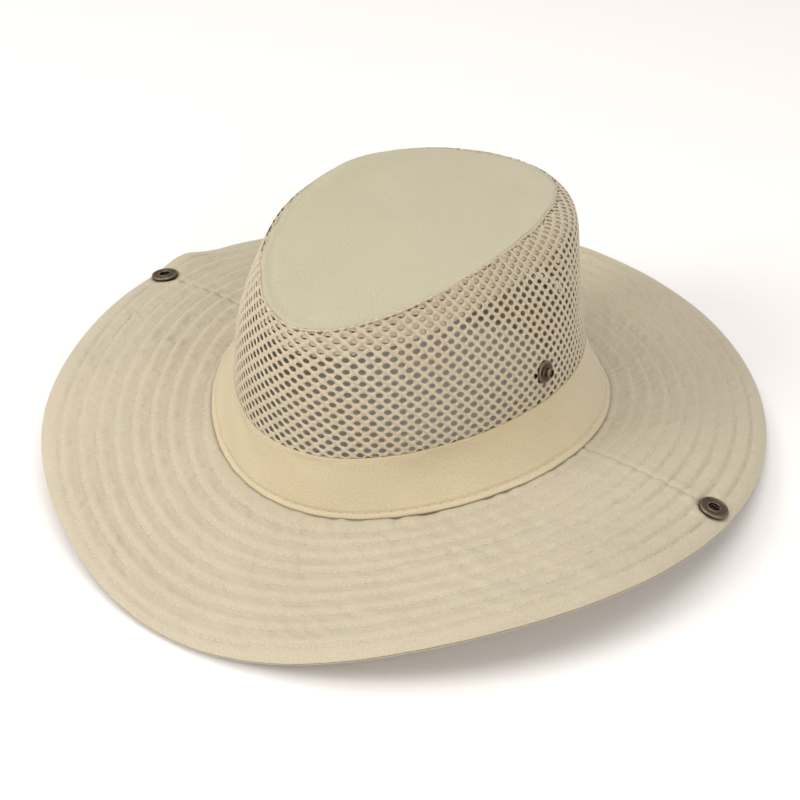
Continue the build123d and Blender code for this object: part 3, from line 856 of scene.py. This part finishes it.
def wall_strip(name, surface, material, replaced, offsets, outside=1, height=None,
               around=560, steps=40, hem=0.45 * MM):
    """A closed strip of cloth that stands on edge: its face, its rolled hems and its back.

    offsets are how far its face and its back lie from the surface, and height what is added to the face.
    """
    angles, shares = np.arange(around) * TURN / around, np.linspace(0, 1, steps)
    base = surface.grid(angles, shares)
    normals = grid_normals(base, closed=True)
    if np.mean(normals[..., 0] * base[..., 0]) * outside < 0:
        normals = -normals
    lift = np.zeros(base.shape[:2]) if height is None else height(angles, shares)
    face = base + normals * (lift + offsets[0])[..., None]
    back = base + normals * (np.minimum(lift, 0.0) + offsets[1])[..., None]
    rise = unit(np.gradient(base, axis=1)) * hem
    low_hem = hem_rows(back[:, 0], face[:, 0], -rise[:, 0], [150, 115, 90, 65, 30])
    top_hem = hem_rows(face[:, -1], back[:, -1], rise[:, -1], [30, 65, 90, 115, 150])
    ring = np.concatenate([low_hem, face, top_hem, back[:, ::-1]], 1)
    quads = grid_faces(around, ring.shape[1], closed=True, looped=True)
    if outside < 0:
        quads = quads[:, ::-1]
    arc, up = lengths_along(base[:, steps // 2]), lengths_along(ring[0])
    uv = np.stack(np.broadcast_arrays(arc[:, None], up[None, :]), -1).reshape(-1, 2)
    obj = make_mesh(name, ring.reshape(-1, 3), quads, material, uv=uv)
    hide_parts(replaced)
    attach(obj, "root")


BAND_STITCH_SHARE = 0.095
BAND_ROUND = 0.66             # metres round the band's foot, for the width of the seam at its back
BACK_SHARE = 0.25             # the centre back, as a share of the turn


def band_height(angles, shares):
    """Soft dents and pulls in the band, the dip along its stitches and the seam at its back."""
    a, s = angles[:, None] / TURN, shares[None, :]
    dents = 0.85 * noise(a * 13 + s * 0.8, s * 1.6, 13, 71)
    pulls = 0.45 * noise(a * 60 + s * 2.5, s * 2.2, 60, 72)
    ripples = 0.16 * noise(a * 150 + s * 1.5, s * 3.0, 150, 73) * bell(s, 0.3)
    dip = -0.45 * bell(s - BAND_STITCH_SHARE, 0.018)
    lip = 0.30 * bell(s - 0.03, 0.03)
    ends = smooth_step(np.clip(s / 0.10, 0.15, 1)) * smooth_step(np.clip((1 - s) / 0.10, 0.25, 1))
    from_seam = np.abs(a - BACK_SHARE) * BAND_ROUND
    seam = -0.60 * bell(from_seam, 0.6 * MM) + 0.30 * bell(from_seam - 4 * MM, 3 * MM, 4)
    return ((dents + pulls) * ends + ripples + dip + lip + seam) * MM


def sweatband_height(angles, shares):
    """Ripples and dents in the sweatband, less at its lower edge."""
    a, s = angles[:, None] / TURN, shares[None, :]
    ripples = 0.25 * noise(a * 70 + s, s * 2, 70, 81)
    dents = 0.45 * noise(a * 15, s * 1.5, 15, 82)
    return (ripples + dents) * smooth_step(np.clip(s / 0.2, 0, 1)) * MM


wall_strip("hat_band_cloth", band, band_cloth, "hat_band", (0.35 * MM, -0.85 * MM),
           height=band_height, around=720, steps=56)
sweatband = read_wall("sweatband", outside=False)
wall_strip("sweatband_cloth", sweatband, sweatband_cloth, "sweatband",
           (0.0, -0.8 * MM), outside=-1, height=sweatband_height, around=480)
tape = read_wall("tip_seam_tape", outside=False)
wall_strip("tip_seam_tape_cloth", tape, tape_cloth, "tip_seam_tape",
           (0.0, -0.6 * MM), outside=-1, around=360, steps=14, hem=0.2 * MM)


def wall_stitches(name, surface, share, side, offset, seed, material=sewing_thread,
                  height=None, pitch=STITCH, reach_share=0.39):
    """A row of stitches round a standing strip. side is 1 for its outside and -1 for its inside."""
    rng = np.random.default_rng(seed)
    dense = np.linspace(0, TURN, 1441)
    length = lengths_along(surface.grid(dense, [share])[:, 0])
    count = int(length[-1] / pitch)
    middles = (np.arange(count) + 0.5) * length[-1] / count
    angles = np.interp(middles, length, dense)
    here, normal, around, _ = surface.frame_at(angles, np.full(count, share))
    normal = facing_out(normal, here) * side
    seat = np.full(count, offset)
    if height is not None:
        seat = seat + height(angles, np.array([share]))[:, 0]
    centre = here + normal * seat[:, None]
    reach = around * (pitch * reach_share * rng.uniform(0.92, 1.08, count))[:, None]
    points, faces, uv = stitch_mesh(centre - reach, centre + reach, normal, 0.12 * MM, 0.14 * MM)
    obj = make_mesh(name, points, faces, material, uv=uv)
    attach(obj, "root")


# short dark stitches: thread, and painted shade of the needle holes they go through
wall_stitches("hat_band_thread", band, BAND_STITCH_SHARE, 1, 0.30 * MM, 21,
              band_thread, band_height, 5.7 * MM, 0.09)
wall_stitches("sweatband_thread", sweatband, 0.08, -1, 0.05 * MM, 22)


# ====================================================================================
# Crown mesh
# ====================================================================================
MESH_INSET = 0.55 * MM        # from the CAD wall's outside to the middle of the yarn
SMALLEST_FACE = 1e-10         # twice its area in square metres
STUD_SPOTS = [mount["pos_m"] for mount in frame["record"]["mounts"] if mount["name"].endswith("_stud")]
# The yarn's section, from the line between two holes to the rim of a hole and round behind:
# share of the way to the hole, and height as a share of half the thickness.
YARN_SECTION = [(0.0, 1.0), (0.45, 0.92), (0.82, 0.60), (1.0, 0.0), (0.82, -0.60), (0.45, -0.92), (0.0, -1.0)]

crown = read_wall("crown_mesh", steps=41, harmonics=24, degree=12)
flat_angles = np.linspace(-math.pi, math.pi, 721)
flat_shares = np.linspace(0, 1, 49)
crown_grid = crown.grid(flat_angles, flat_shares)
foot_arc = lengths_along(crown_grid[:, 0])
top_round = float(np.sum(np.linalg.norm(np.diff(crown_grid[:, -1], axis=0), axis=1)))
climbs = np.cumsum(np.linalg.norm(np.diff(crown_grid, axis=1), axis=2), axis=1)
slant = np.concatenate([np.zeros((len(flat_angles), 1)), climbs], 1)
mean_slant = float(slant[:, -1].mean())
CONE_RADIUS = foot_arc[-1] * mean_slant / (foot_arc[-1] - top_round)
HALF_ROUND = foot_arc[-1] / 2


def share_at(angles, distance):
    """The share of the wall's height at a distance up the wall from its foot."""
    position = (angles + math.pi) / TURN * (len(flat_angles) - 1)
    low = np.clip(np.floor(position).astype(int), 0, len(flat_angles) - 2)
    part = position - low
    heights = slant[low] * (1 - part)[:, None] + slant[low + 1] * part[:, None]
    return np.array([np.interp(up, column, flat_shares) for up, column in zip(distance, heights)])


def to_wall(flat):
    """Flat cloth to arc along the foot and distance up the wall: the cloth rolled into a cone."""
    x, y = flat[:, 0] + MESH_SHEAR * flat[:, 1], CONE_RADIUS - flat[:, 1]
    return np.arctan2(x, y) * CONE_RADIUS, CONE_RADIUS - np.hypot(x, y)


def wall_angle(arc):
    """The angle round the hat of a place at an arc along the foot from the centre front."""
    front = np.interp(-math.pi / 2, flat_angles, foot_arc)
    return np.interp((front + arc) % foot_arc[-1], foot_arc, flat_angles)


def wall_top(angles):
    """Distance up the wall from its foot to its top."""
    return np.interp(angles, flat_angles, slant[:, -1])


def hole_cell():
    """Matching points round the six-sided cell of one hole, which tiles the cloth, and round the hole."""
    step_x, step_y = HOLE_PITCH / 2, ROW_STEP
    reach = (step_x**2 + step_y**2) / (2 * step_x)
    top_half = (step_x**2 - step_y**2) / (2 * step_x)
    corners = np.array([(reach, 0), (top_half, step_y), (-top_half, step_y),
                        (-reach, 0), (-top_half, -step_y), (top_half, -step_y)])
    middles = (corners + np.roll(corners, -1, axis=0)) / 2
    cell = np.stack([corners, middles], 1).reshape(-1, 2)
    directions = np.arctan2(cell[:, 1] / HOLE_SIZE[1], cell[:, 0] / HOLE_SIZE[0])
    hole = np.stack([HOLE_SIZE[0] * np.cos(directions), HOLE_SIZE[1] * np.sin(directions)], 1)
    return cell, hole


def hole_centres(start_share, phase):
    """Centres in flat cloth of the holes on the strip, from a share of its height upward."""
    step_x, step_y = HOLE_PITCH / 2, ROW_STEP
    columns = int(HALF_ROUND / step_x) + 4
    rows = int((mean_slant * 1.3 + HALF_ROUND * 0.35) / step_y) + 4
    centres = np.array([
        (column * step_x + phase[0], row * step_y + phase[1])
        for row in range(-3, rows) for column in range(-columns, columns + 1) if (row + column) % 2 == 0
    ])
    arc, up = to_wall(centres)
    limit = wall_top(wall_angle(arc))
    on_strip = (up > start_share * limit - 1.5 * MM) & (up < limit + 0.8 * MM)
    return centres[on_strip & (np.abs(arc) < HALF_ROUND + 1.0 * MM)]


def mesh_swell(points, angles, up):
    """Soft dents of the mesh, which fade at its foot and round the studs."""
    round_share = (angles + math.pi) / TURN
    dents = 0.35 * noise(round_share * 24, up / (22 * MM), 24, 33)
    dents = dents + 0.9 * noise(round_share * 9, up / (45 * MM), 9, 34)
    dents = dents * smooth_step(np.clip(up / (12 * MM), 0, 1))
    for spot in STUD_SPOTS:
        dents = dents * (1 - bell(np.linalg.norm(points - np.array(spot), axis=1), 11 * MM, 4))
    return dents * MM


def sound_quads(points, quads):
    """The quads that have four different corners and some area."""
    quads = quads[[len(set(quad)) == 4 for quad in quads.tolist()]]
    corners = points[quads]
    area = np.linalg.norm(np.cross(corners[:, 2] - corners[:, 0], corners[:, 3] - corners[:, 1]), axis=1)
    return quads[area > SMALLEST_FACE]


def crown_knit(name, inset, half_thickness, start_share=0.0, phase=(0.0, 0.0)):
    """The mesh wall: one strip of flat cloth from the back seam all round, with its rows of holes.

    inset is how far the middle of the yarn lies inside the CAD wall's outside. The strip starts at
    start_share of the wall's height, and phase shifts its holes.
    """
    cell, hole = hole_cell()
    centres = hole_centres(start_share, phase)
    size = 1 + np.random.default_rng(31).uniform(-0.07, 0.07, len(centres))
    to_hole = hole * size[:, None, None] - cell
    rings = [centres[:, None] + (cell + to_hole * share) for share, _ in YARN_SECTION]
    flat = np.stack(rings, 1).reshape(-1, 2)
    levels = np.array([level for _, level in YARN_SECTION])
    index = np.arange(len(flat)).reshape(len(centres), len(levels), len(cell))
    levels = np.broadcast_to(levels[None, :, None], index.shape).ravel()

    arc, up = to_wall(flat)
    angle = wall_angle(np.clip(arc, -HALF_ROUND, HALF_ROUND))
    limit = wall_top(angle)
    up = np.clip(up, start_share * limit, limit)

    # neighbouring cells share the points on their common sides
    key = np.round(np.column_stack([flat / (0.02 * MM), levels * 10])).astype(np.int64)
    _, first, shared = np.unique(key, axis=0, return_index=True, return_inverse=True)
    angle, up = angle[first], up[first]
    here, normal, _, _ = crown.frame_at(angle, share_at(angle, up))
    offset = levels[first] * half_thickness - inset + mesh_swell(here, angle, up)
    points = here + facing_out(normal, here) * offset[:, None]

    following = np.roll(index, -1, axis=2)
    quads = np.stack([index[:, :-1], following[:, :-1], following[:, 1:], index[:, 1:]], -1).reshape(-1, 4)
    quads = sound_quads(points, shared.ravel()[quads])
    used, compact = np.unique(quads, return_inverse=True)
    obj = make_mesh(name, points[used], compact.reshape(-1, 4), mesh_yarn, uv=flat[first][used])
    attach(obj, "root")
    return obj


mesh_knit = crown_knit("crown_mesh_knit", MESH_INSET, MESH_HALF_THICKNESS)
# the mesh's allowance, turned in behind its top rows and sewn down
turned_knit = crown_knit("crown_mesh_turned", 1.15 * MM, 0.2 * MM, 0.80, (HOLE_PITCH * 0.5, ROW_STEP * 0.35))
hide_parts("crown_mesh")


def rope(centre, normals, sideways, radius, bumps, seed, depth):
    """Points of a lumpy rolled seam along a line: [place, side, xyz]."""
    count = len(centre)
    turn = np.arange(10) * TURN / 10
    rng = np.random.default_rng(seed)
    lumps = 1 + depth * np.sin(np.arange(count) * TURN * bumps / count)[:, None]
    lumps = lumps * (1 + 0.12 * rng.standard_normal((count, 1)))
    circle = normals[:, None] * np.sin(turn)[None, :, None] + sideways[:, None] * np.cos(turn)[None, :, None]
    return centre[:, None] + circle * (radius * lumps)[:, :, None]


def seam_piece(name, points, quads, along):
    """A rolled seam in the mesh's yarn. along is each row's place along the seam in metres."""
    across = np.arange(points.shape[1]) * 0.5 * MM
    uv = np.stack(np.broadcast_arrays(along[:, None], across[None]), -1).reshape(-1, 2)
    obj = make_mesh(name, points.reshape(-1, 3), quads, mesh_yarn, uv=uv)
    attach(obj, "root")


# ====================================================================================
# Tip and crown seams
# ====================================================================================
TIP_OVAL = (0.0557, 0.0961)   # half width and half length, for the directions away from its rim
TIP_TERMS = read_tip()


def tip_rim(count):
    """Angles round the top of the mesh, the points there and the level directions away from the tip."""
    angles = np.arange(count) * TURN / count
    rim = crown.grid(angles, [1.0])[:, 0]
    outward = unit(np.column_stack([
        rim[:, 0] / TIP_OVAL[0]**2, (rim[:, 1] - rim[:, 1].mean()) / TIP_OVAL[1]**2, np.zeros(count)]))
    return angles, rim, outward


def tip_height(x, y):
    return sum(term * value for term, value in zip(TIP_TERMS, quadratic_terms(x, y)))


def tip_relief(x, y, angles, shares):
    """Dents, pulls at the seam, the puff and dip beside it and two soft creases, for a grid of points."""
    a, s = angles[:, None] / TURN, shares[None]
    gap = (1 - s) * 0.07
    soft = 0.9 * noise(a * 9, s * 3.0, 9, 51) * s
    pulls = 0.30 * noise(a * 52, s * 4.0, 52, 52) * bell(gap, 0.012)
    puff = 0.8 * bell(gap - 0.006, 0.006) - 0.7 * bell(gap, 0.0012)
    left_crease = -2.4 * bell(np.hypot((x - 0.026) / 0.011, (y - 0.056) / 0.020), 1)
    front_crease = -2.2 * (s ** 6) * np.clip(-np.sin(angles[:, None]), 0, 1)
    creases = (left_crease + front_crease) * smooth_step(np.clip(gap / 0.006, 0, 1))
    return (soft + pulls + puff + creases) * MM


def tip_panel():
    """The tip cloth: rings of points from its middle to its rim, and tucked under there."""
    around = 480
    angles, rim, outward = tip_rim(around)
    centre_y = rim[:, 1].mean()
    shares = np.concatenate([np.linspace(0.0, 0.9, 46)[1:], np.linspace(0.9, 1.0, 16)[1:]])
    edge = rim - outward * 0.55 * MM
    x = edge[:, None, 0] * shares[None]
    y = centre_y + (edge[:, None, 1] - centre_y) * shares[None]
    points = np.stack([x, y, tip_height(x, y) + tip_relief(x, y, angles, shares)], -1)
    under = edge - np.array([0, 0, 3.0 * MM]) - outward * 0.6 * MM
    points = np.concatenate([points, under[:, None]], 1)
    columns = points.shape[1]
    middle = around * columns
    points = np.concatenate([points.reshape(-1, 3), [[0.0, centre_y, tip_height(0.0, centre_y)]]])
    polygons = grid_faces(around, columns, closed=True)[:, ::-1].tolist()
    polygons += [(middle, ring * columns, (ring + 1) % around * columns) for ring in range(around)]

    mesh = bpy.data.meshes.new("crown_tip_cloth")
    mesh.from_pydata(points.tolist(), [], polygons)
    layer = mesh.uv_layers.new(name="weave")
    for loop in mesh.loops:
        layer.data[loop.index].uv = points[loop.vertex_index][:2]
    mesh.materials.append(tip_cloth)
    mesh.polygons.foreach_set("use_smooth", [True] * len(polygons))
    obj = bpy.data.objects.new("crown_tip_cloth", mesh)
    bpy.context.scene.collection.objects.link(obj)
    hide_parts("crown_tip")
    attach(obj, "root")


def tip_seam_roll():
    """The rolled seam between the tip and the mesh."""
    angles, rim, outward = tip_rim(1600)
    up = np.tile([0.0, 0.0, 1.0], (len(rim), 1))
    lift = -0.60 + 0.2 * noise(angles / TURN * 60, 0.5, 60, 54)
    line = rim - outward * 0.45 * MM + up * (lift * MM)[:, None]
    points = rope(line, up, outward, 0.50 * MM, 170, 55, 0.22)
    quads = grid_faces(*points.shape[:2], closed=True, looped=True)[:, ::-1]
    mean_radius = 0.078
    seam_piece("tip_seam_roll", points, quads, angles * mean_radius)


def crown_back_seam():
    """The narrow sewn ridge where the two ends of the mesh strip meet."""
    shares = np.linspace(0.0, 1.0, 150)
    here, normal, around, _ = crown.frame_at(np.full(len(shares), math.pi / 2), shares)
    normal = facing_out(normal, here)
    points = rope(here - normal * 0.35 * MM, normal * 0.6, around, 0.8 * MM, 42, 57, 0.15)
    length = 0.075
    seam_piece("crown_back_seam", points, grid_faces(*points.shape[:2], looped=True), shares * length)


tip_panel()
tip_seam_roll()
crown_back_seam()


# ====================================================================================
# Snap fasteners
# ====================================================================================
def mount_line(mount):
    """A mount's place in the record and the direction it faces."""
    found = next(m for m in frame["record"]["mounts"] if m["name"] == mount)
    return Vector(found["pos_m"]), Vector(found["axis"]).normalized()


def turned(node, origin, axis, profile, body, segments=72):
    """A brass part turned on a lathe: profile is radius and height in millimetres, as a closed loop."""
    turn_to = axis.to_track_quat("Z", "X").to_matrix()
    outline = rounded(profile)
    points = []
    for index in range(segments):
        angle = TURN * index / segments
        for radius, height in outline:
            local = Vector((radius * MM * math.cos(angle), radius * MM * math.sin(angle), height * MM))
            points.append(tuple(origin + turn_to @ local))
    faces = grid_faces(segments, len(outline), closed=True, looped=True)
    obj = make_mesh(f"{node}_brass", points, faces, antique_brass)
    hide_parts(node)
    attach(obj, body)


def rounded(profile, steps=3):
    """The profile with each corner cut to a short curve."""
    result = []
    for index, corner in enumerate(profile):
        here = Vector(corner)
        start, end = (
            here + (other - here) * min(CORNER_SHARE, CORNER_REACH / max((other - here).length, 1e-6))
            for other in (Vector(profile[index - 1]), Vector(profile[(index + 1) % len(profile)]))
        )
        for t in np.arange(steps + 1) / steps:
            result.append(tuple(start * (1 - t) ** 2 + here * 2 * t * (1 - t) + end * t * t))
    return result


# Radius and height in millimetres, the height from the cloth's own surface.
SOCKET_PROFILE = [
    (2.1, 0.0), (6.9, 0.0), (7.3, 0.45), (7.35, 1.0), (7.1, 1.6), (6.6, 1.95), (6.1, 1.9), (5.6, 1.55),
    (4.6, 1.42), (3.7, 1.5), (3.35, 1.85), (3.0, 1.95), (2.75, 1.75), (2.75, 1.15), (4.9, 1.15),
    (4.9, 0.5), (2.1, 0.5),
]
CAP_PROFILE = [
    (0.01, 0.4), (2.0, 0.4), (2.0, -2.6), (7.3, -2.6), (7.35, -2.95), (7.0, -3.35), (5.5, -3.85),
    (3.5, -4.2), (0.01, -4.4),
]
STUD_PROFILE = [
    (1.6, 0.0), (5.5, 0.0), (5.55, 0.45), (5.2, 0.85), (4.5, 0.95), (3.4, 0.72), (2.7, 0.95), (2.15, 1.35),
    (2.1, 2.2), (2.5, 2.75), (2.5, 3.3), (2.2, 3.8), (1.85, 4.0), (1.6, 3.85),
]
BACKPLATE_PROFILE = [
    (0.01, 3.4), (1.5, 3.4), (1.5, -1.7), (5.4, -1.7), (5.5, -2.0), (5.1, -2.4), (2.4, -2.5), (0.01, -2.3),
]
CORNER_SHARE = 0.22           # of each side that a corner's curve may take
CORNER_REACH = 0.28           # millimetres
MOUTH_HEIGHT = 1.5            # the socket's mount on its profile
STUD_HEIGHT = 3.05            # the stud's mount on its profile

for side in ("left", "right"):
    mouth, up = mount_line(f"{side}_socket_mouth")
    head, out = mount_line(f"{side}_stud")
    base, foot = mouth - up * MOUTH_HEIGHT * MM, head - out * STUD_HEIGHT * MM
    turned(f"{side}_snap_socket", base, up, SOCKET_PROFILE, f"{side}_flap")
    turned(f"{side}_snap_cap", base, up, CAP_PROFILE, f"{side}_flap")
    turned(f"{side}_snap_stud", foot, out, STUD_PROFILE, "root")
    turned(f"{side}_stud_backplate", foot, out, BACKPLATE_PROFILE, "root")
    spring = frame["nodes"][f"{side}_snap_spring"]
    spring.data.materials.clear()
    spring.data.materials.append(spring_steel)
    spring.data.polygons.foreach_set("use_smooth", [True] * len(spring.data.polygons))


# ====================================================================================
# Stage, light and camera
# ====================================================================================
FLOOR_SIZE = 6.0
SWEEP_START = 1.6             # metres behind the hat, where the floor starts to curve up
SWEEP_STEEPNESS = 0.8
LIT_PLACE = (0, 0, 0.05)


def stage():
    """A pale floor that curves up far behind the hat."""
    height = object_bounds()[0].z
    steps = 24
    points = []
    for index in range(steps + 1):
        back = FLOOR_SIZE * (index / steps - 0.5)
        lift = max(0.0, back - SWEEP_START) ** 2 * SWEEP_STEEPNESS
        points += [(-FLOOR_SIZE, back, height + lift), (FLOOR_SIZE, back, height + lift)]
    faces = [(2 * index, 2 * index + 1, 2 * index + 3, 2 * index + 2) for index in range(steps)]
    mesh = bpy.data.meshes.new("floor")
    mesh.from_pydata(points, [], faces)
    floor = bpy.data.objects.new("floor", mesh)
    bpy.context.scene.collection.objects.link(floor)
    n = Nodes("pale_floor")
    tint = n.mix(n.noise(n.place(), 3.0, 2.0), (0.87, 0.83, 0.80, 1), (0.89, 0.85, 0.82, 1))
    n.set(Base_Color=tint, Roughness=0.9)
    mesh.materials.append(n.material)
    floor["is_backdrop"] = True


def area_light(name, place, size, energy):
    data = bpy.data.lights.new(name, "AREA")
    data.shape = "DISK"
    data.size = size
    data.energy = energy
    light = bpy.data.objects.new(name, data)
    light.location = place
    light.rotation_mode = "QUATERNION"
    light.rotation_quaternion = (Vector(LIT_PLACE) - Vector(place)).to_track_quat("-Z", "Y")
    bpy.context.scene.collection.objects.link(light)


def lights():
    area_light("key_light", (-0.85, -1.25, 1.05), 0.8, 17)
    area_light("fill_light", (1.5, -0.8, 0.9), 1.4, 13)
    area_light("top_light", (-0.1, -0.1, 1.9), 1.8, 18)
    world = bpy.data.worlds.new("studio")
    bpy.context.scene.world = world
    world.use_nodes = True
    world.node_tree.nodes["Background"].inputs["Color"].default_value = (1, 1, 1, 1)
    world.node_tree.nodes["Background"].inputs["Strength"].default_value = 0.5
    bpy.context.scene.view_settings.view_transform = "Standard"


def camera():
    azimuth, elevation = math.radians(CAMERA_AZIMUTH), math.radians(CAMERA_ELEVATION)
    back = Vector((math.sin(azimuth) * math.cos(elevation), -math.cos(azimuth) * math.cos(elevation),
                   math.sin(elevation)))
    right = Vector((math.cos(azimuth), math.sin(azimuth), 0))
    up = back.cross(right)
    roll = math.radians(CAMERA_ROLL)
    right, up = right * math.cos(roll) + up * math.sin(roll), up * math.cos(roll) - right * math.sin(roll)
    data = bpy.data.cameras.new("camera")
    data.lens, data.sensor_width = CAMERA_LENS, 36
    data.shift_x, data.shift_y = CAMERA_SHIFT
    data.clip_start, data.clip_end = 0.01, 50
    obj = bpy.data.objects.new("camera", data)
    place = Vector(CAMERA_TARGET) + back * CAMERA_DISTANCE
    obj.matrix_world = Matrix((
        (right.x, up.x, back.x, place.x), (right.y, up.y, back.y, place.y),
        (right.z, up.z, back.z, place.z), (0, 0, 0, 1)))
    bpy.context.scene.collection.objects.link(obj)
    bpy.context.scene.camera = obj


stage()
lights()
camera()
